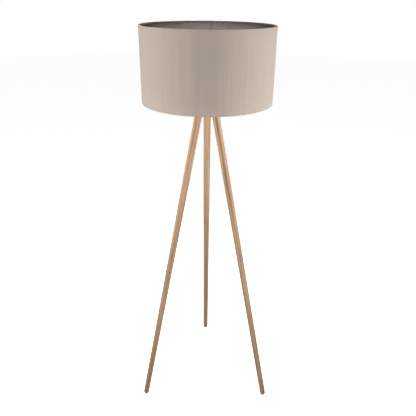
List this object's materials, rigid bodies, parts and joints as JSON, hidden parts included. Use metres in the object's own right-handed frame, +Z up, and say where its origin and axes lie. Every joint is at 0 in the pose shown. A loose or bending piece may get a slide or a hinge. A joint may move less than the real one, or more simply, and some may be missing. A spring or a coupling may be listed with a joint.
{
  "type": "tripod floor lamp",
  "caption": "Floor lamp on round tapered oak legs that splay from a hidden hub, with a screw-in bulb inside a tall fabric drum shade.",
  "frame": {"origin": "on the floor, at the middle of the footprint box that holds the feet and the shade; the lamp's column stands 38 mm in front of it", "axes": "+Z up the lamp, +Y towards the rear leg, +X to the right as seen from the front, between the two front legs"},
  "size_m": [0.524, 0.5257, 1.483],
  "materials": {
    "oak": "clear oiled oak, brown tone",
    "felt": "pressed felt",
    "zinc": "zinc plated",
    "brass": "plain",
    "white_plastic": "moulded, satin",
    "ceramic": "glazed ceramic",
    "nickel": "nickel plated",
    "opal": "opal diffuser",
    "black_glass": "opaque black",
    "led_white": "white solder mask",
    "shade_cloth": "slubbed weave, taupe",
    "shade_lining": "stiff laminated sheet, grey brown",
    "white_wire": "white powder coat"
  },
  "bodies": {
    "stand": {"hub": "oak", "leg_rear": "oak", "leg_left": "oak", "leg_right": "oak", "leg_stud_rear": "zinc", "leg_stud_left": "zinc", "leg_stud_right": "zinc", "insert_nut_rear": "brass", "insert_nut_left": "brass", "insert_nut_right": "brass", "foot_pad_rear": "felt", "foot_pad_left": "felt", "foot_pad_right": "felt", "threaded_tube": "zinc", "lower_washer": "zinc", "lower_nut": "zinc", "upper_washer": "zinc", "upper_nut": "zinc", "cord_bush": "white_plastic", "lampholder_cap": "white_plastic", "cap_grub_screw": "zinc", "lampholder_core": "ceramic", "terminal_screw_a": "brass", "terminal_screw_b": "brass", "centre_contact": "brass", "screw_shell": "nickel", "lampholder_sleeve": "white_plastic"},
    "shade": {"shade_fabric": "shade_cloth", "shade_liner": "shade_lining", "shade_top_ring": "white_wire", "shade_bottom_ring": "white_wire", "spider_plate": "white_wire", "spider_arm_rear": "white_wire", "spider_arm_left": "white_wire", "spider_arm_right": "white_wire"},
    "ring_thread": {"ring_washer": "white_plastic"},
    "ring": {"shade_ring": "white_plastic"},
    "bulb_thread": {"bulb_tip": "zinc"},
    "bulb": {"bulb_insulator": "black_glass", "bulb_cap": "nickel", "bulb_body": "white_plastic", "bulb_led_board": "led_white", "bulb_diffuser": "opal"}
  },
  "joints": [
    {"name": "shade_turn", "type": "hinge", "parent": "stand", "child": "shade", "pos_m": [0, -0.03803, 1.2858], "axis": [0, 0, 1], "continuous": true},
    {"name": "ring_rise", "type": "slide", "parent": "stand", "child": "ring_thread", "axis": [0, 0, 1], "range_m": [0, 0.0176]},
    {"name": "ring_unscrew", "type": "hinge", "parent": "ring_thread", "child": "ring", "pos_m": [0, -0.03803, 1.293], "axis": [0, 0, 1], "range_deg": [0, 2520]},
    {"name": "bulb_rise", "type": "slide", "parent": "stand", "child": "bulb_thread", "axis": [0, 0, 1], "range_m": [0, 0.0218]},
    {"name": "bulb_unscrew", "type": "hinge", "parent": "bulb_thread", "child": "bulb", "pos_m": [0, -0.03803, 1.3], "axis": [0, 0, 1], "range_deg": [0, 2160]}
  ],
  "couplings": [
    {"joint": "ring_rise", "follows": "ring_unscrew", "m_per_rad": 0.00039789},
    {"joint": "bulb_rise", "follows": "bulb_unscrew", "m_per_rad": 0.00057614}
  ]
}
